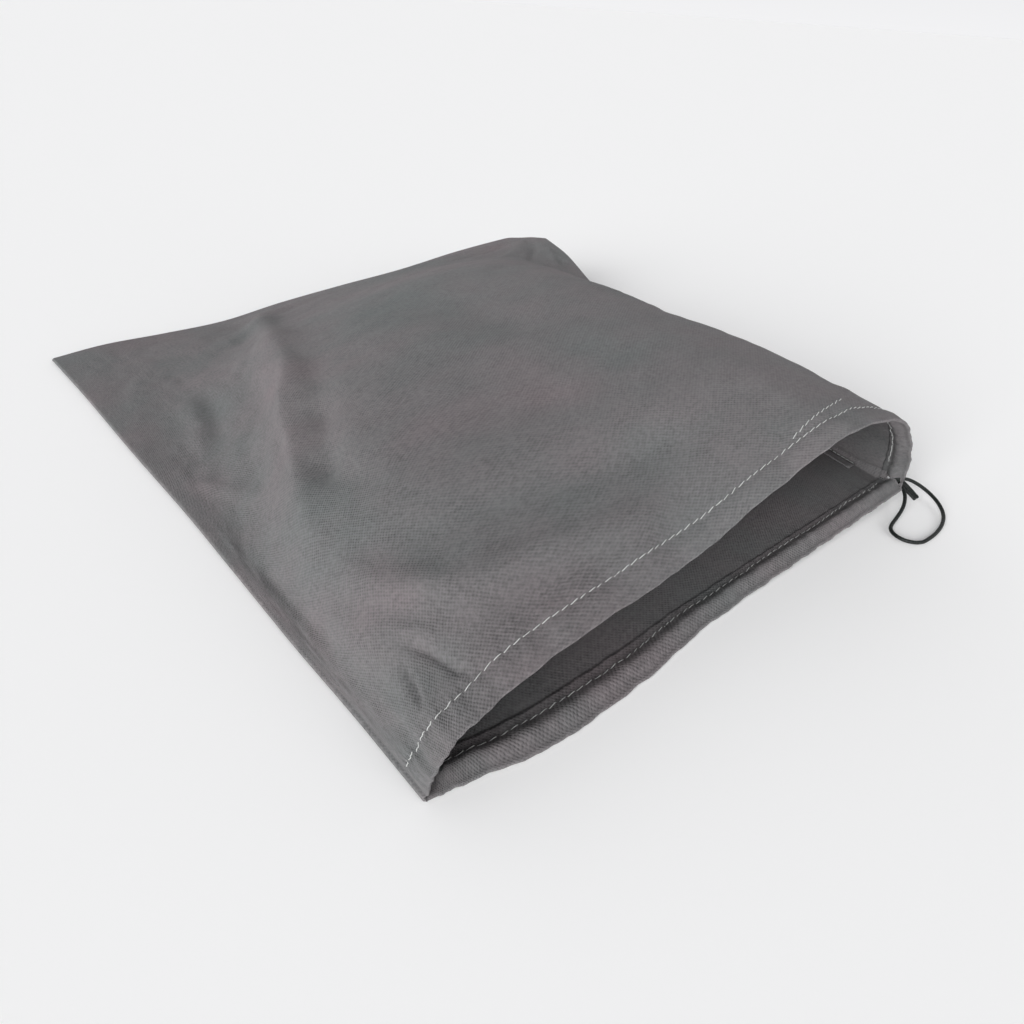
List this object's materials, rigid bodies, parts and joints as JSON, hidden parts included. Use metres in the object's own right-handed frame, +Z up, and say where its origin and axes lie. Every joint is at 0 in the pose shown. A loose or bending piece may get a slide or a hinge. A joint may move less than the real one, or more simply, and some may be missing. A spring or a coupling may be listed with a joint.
{
  "type": "drawstring shoe bag",
  "caption": "Flat sewn bag of thin nonwoven cloth with a stitched drawstring hem round its open mouth, lying spread open for a pair of shoes.",
  "frame": {"origin": "on the floor, under the middle of the bag as it lies", "axes": "+Z up from the floor, +Y from the open mouth to the closed end, +X to the side where the drawstring leaves the mouth"},
  "size_m": [0.3951, 0.4706, 0.0794],
  "materials": {
    "nonwoven": "matt grey spunbond polypropylene cloth with a fine embossed dimple grid",
    "sewing_thread": "off-white polyester sewing thread",
    "cord": "near-black round polyester drawstring, laid and slightly shiny"
  },
  "bodies": {
    "bag": {"front_panel": "nonwoven", "back_panel": "nonwoven", "front_hem": "nonwoven", "back_hem": "nonwoven", "left_seam_allowance": "nonwoven", "right_seam_allowance": "nonwoven", "end_seam_allowance": "nonwoven", "front_hem_stitching": "sewing_thread", "back_hem_stitching": "sewing_thread", "seam_stitching": "sewing_thread", "drawstring_in_hem": "cord"},
    "drawstring": {"drawstring_leg": "cord"},
    "loop": {"drawstring_knot": "cord", "drawstring_loop": "cord", "drawstring_tails": "cord"}
  },
  "joints": [
    {"name": "drawstring_pull", "type": "slide", "parent": "bag", "child": "drawstring", "axis": [0.9987, 0, 0.0503], "range_m": [0, 0.1]},
    {"name": "loop_swing", "type": "hinge", "parent": "drawstring", "child": "loop", "pos_m": [0.1345, -0.2085, 0.0111], "axis": [0, 0, 1], "range_deg": [0, 60]}
  ]
}
